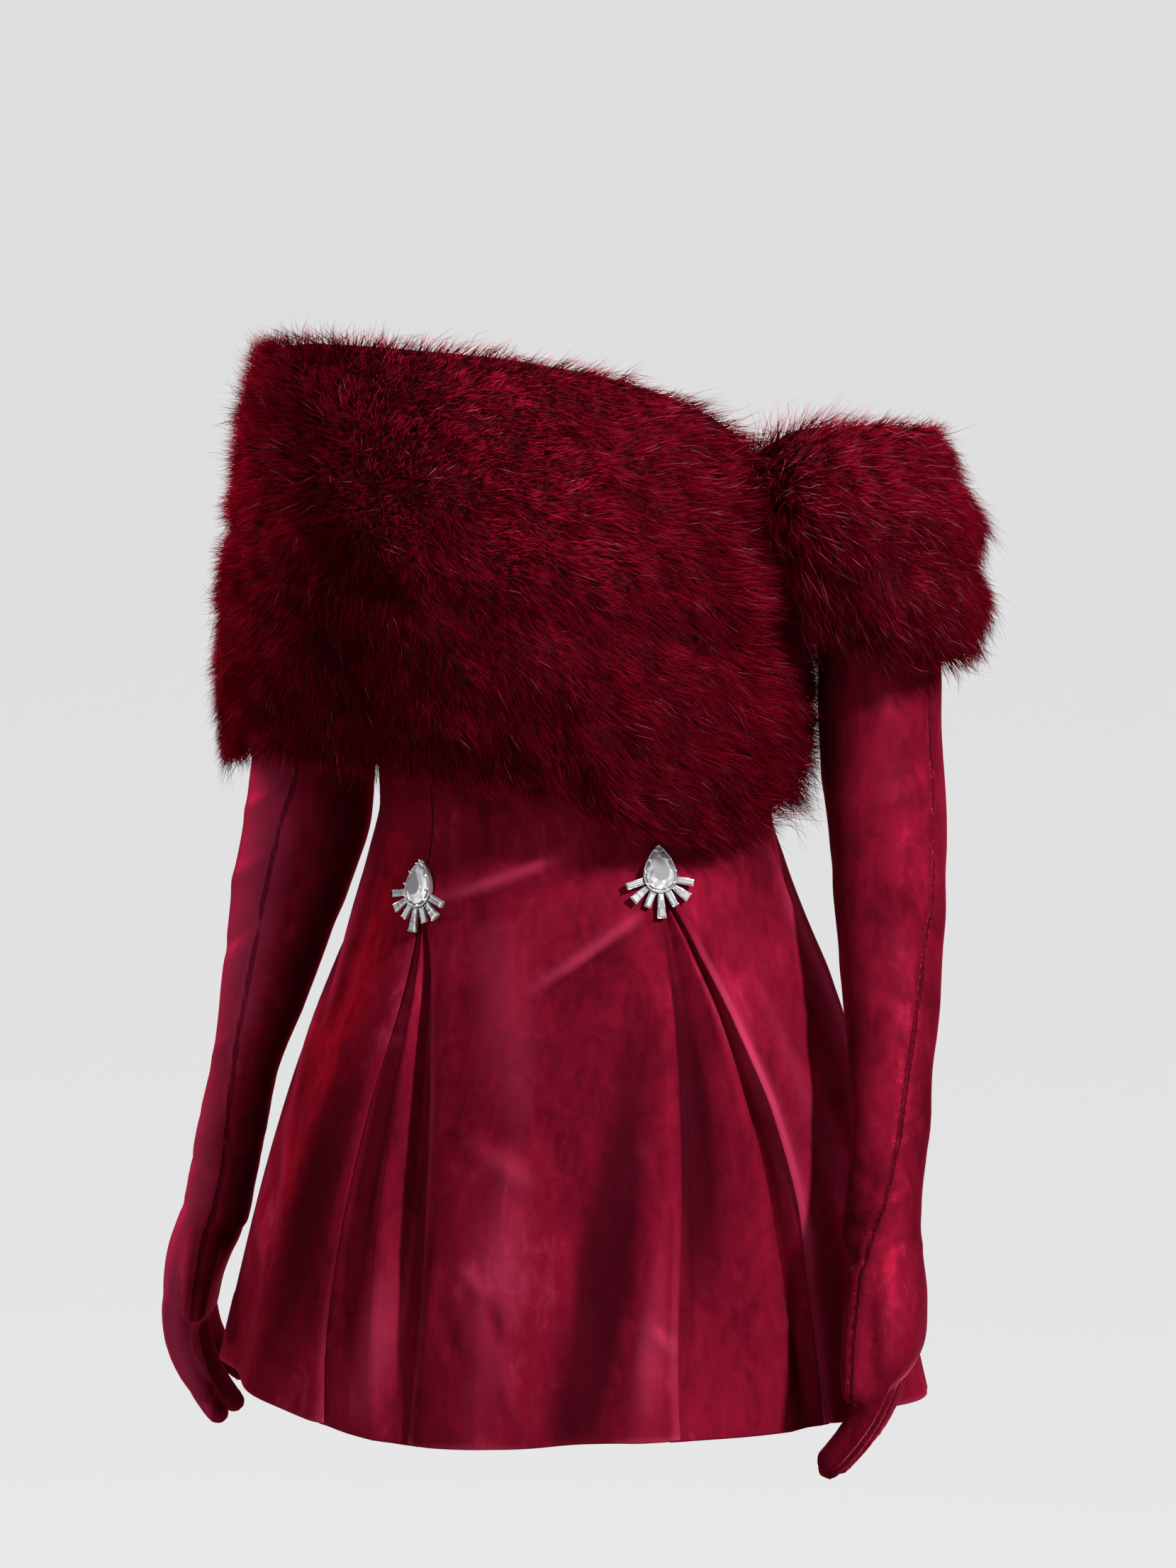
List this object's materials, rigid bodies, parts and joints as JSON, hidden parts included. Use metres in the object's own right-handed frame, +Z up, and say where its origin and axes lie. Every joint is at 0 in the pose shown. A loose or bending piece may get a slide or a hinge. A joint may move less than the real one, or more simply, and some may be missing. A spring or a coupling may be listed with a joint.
{
  "type": "mini dress",
  "caption": "Velvet off-shoulder mini dress with an asymmetric fur wrap, long gloved sleeves, pleated A-line skirt and stone brooches at the waist.",
  "frame": {"origin": "on the body's axis at the bust line, where the wearer's bust and the off-shoulder wrap hold the dress up", "axes": "+Z up along the wearer, -Y the wearer's front, +X the wearer's left side"},
  "size_m": [0.5078, 0.3329, 0.6986],
  "materials": {
    "velvet": "burgundy stretch velvet, short lustrous pile with crushed patches",
    "fur": "deep burgundy long-pile faux fur",
    "zip_tape": "matte woven tape",
    "brooch_metal": "polished silver-coloured claws and collets",
    "crystal": "clear faceted stone"
  },
  "bodies": {
    "root": {"front_centre": "velvet", "side_front_left": "velvet", "side_front_right": "velvet", "back_left": "velvet", "back_right": "velvet", "pleat_underlay_left": "velvet", "pleat_underlay_right": "velvet", "back_zip": "zip_tape", "sleeve_right": "velvet", "sleeve_left": "velvet", "glove_right": "velvet", "glove_left": "velvet", "fur_wrap_front": "fur", "fur_wrap_back": "fur", "fur_shoulder_left": "fur", "brooch_left_setting": "brooch_metal", "brooch_left_crystal": "crystal", "brooch_left_baguette_1": "brooch_metal", "brooch_left_taper_1": "brooch_metal", "brooch_left_baguette_2": "brooch_metal", "brooch_left_taper_2": "brooch_metal", "brooch_left_baguette_3": "brooch_metal", "brooch_left_taper_3": "brooch_metal", "brooch_left_baguette_4": "brooch_metal", "brooch_right_setting": "brooch_metal", "brooch_right_crystal": "crystal", "brooch_right_baguette_1": "brooch_metal", "brooch_right_taper_1": "brooch_metal", "brooch_right_baguette_2": "brooch_metal", "brooch_right_taper_2": "brooch_metal", "brooch_right_baguette_3": "brooch_metal", "brooch_right_taper_3": "brooch_metal", "brooch_right_baguette_4": "brooch_metal"}
  },
  "joints": []
}
